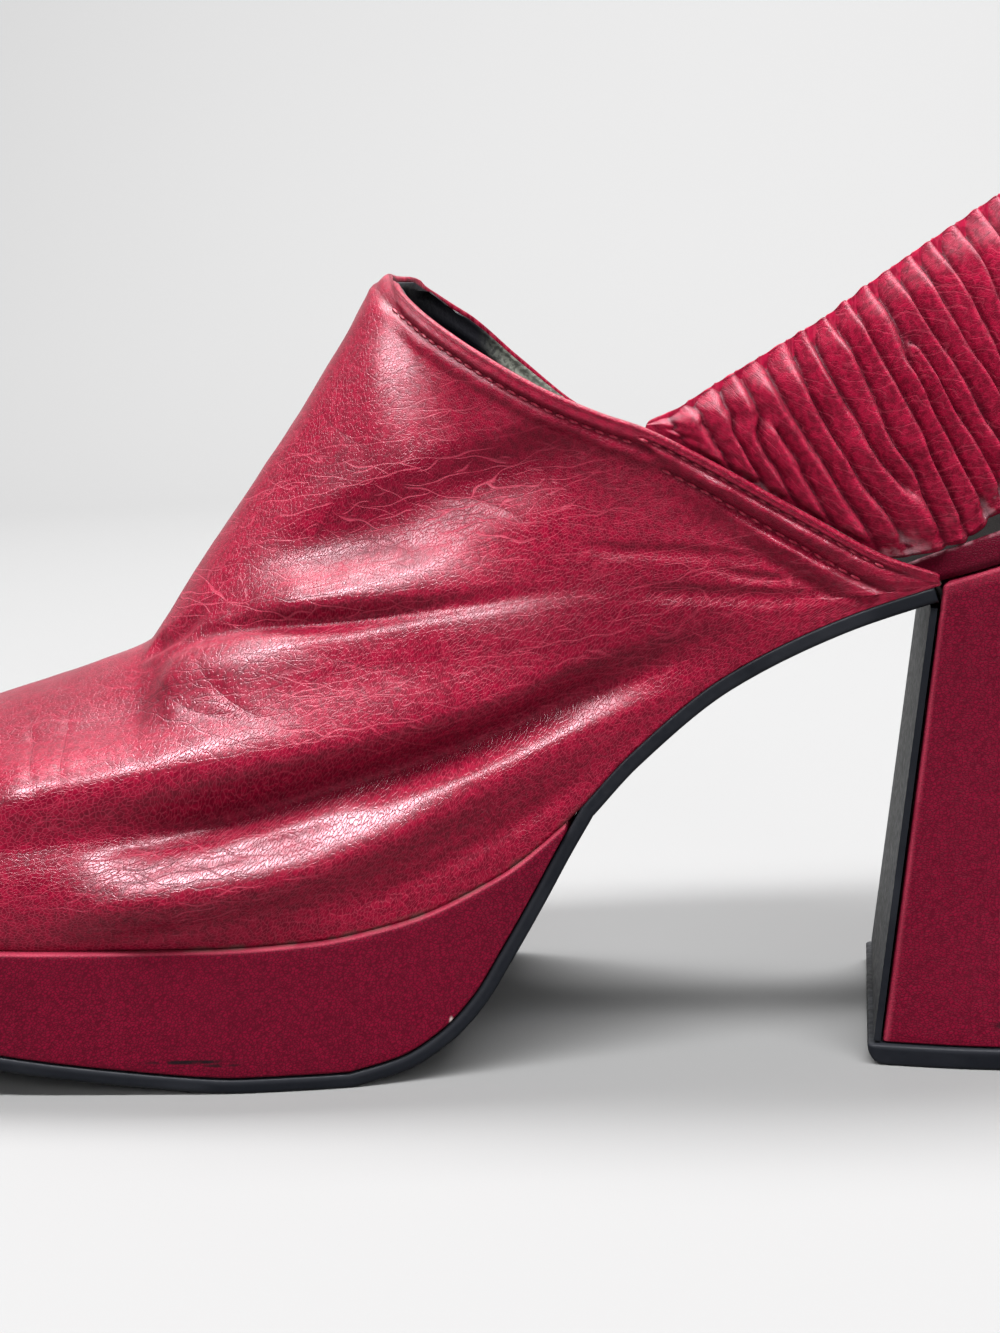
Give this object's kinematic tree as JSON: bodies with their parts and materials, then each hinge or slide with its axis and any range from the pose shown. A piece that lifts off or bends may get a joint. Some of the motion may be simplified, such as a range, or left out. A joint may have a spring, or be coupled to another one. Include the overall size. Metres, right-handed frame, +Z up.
{
  "type": "platform slingback",
  "caption": "Closed-toe leather slingback shoe on a covered platform and block heel, with a gathered strap round the back of the foot; it stands empty on its sole.",
  "frame": {"origin": "on the floor, under the middle of the shoe's box", "axes": "+X from the toe to the heel, +Y to the outer side of the foot, +Z up"},
  "size_m": [0.2385, 0.0875, 0.1385],
  "materials": {
    "vamp_leather": "glossy grained leather, creased",
    "strap_leather": "soft gathered leather",
    "cover_leather": "satin leather, stretched over",
    "sole_rubber": "matt black",
    "insole_lining": "dark lining"
  },
  "bodies": {
    "root": {"upper": "vamp_leather", "heel_strap": "strap_leather", "platform": "cover_leather", "heel": "cover_leather", "outsole": "sole_rubber", "heel_cap": "sole_rubber", "breast_cover": "sole_rubber", "insole": "insole_lining"}
  },
  "joints": []
}
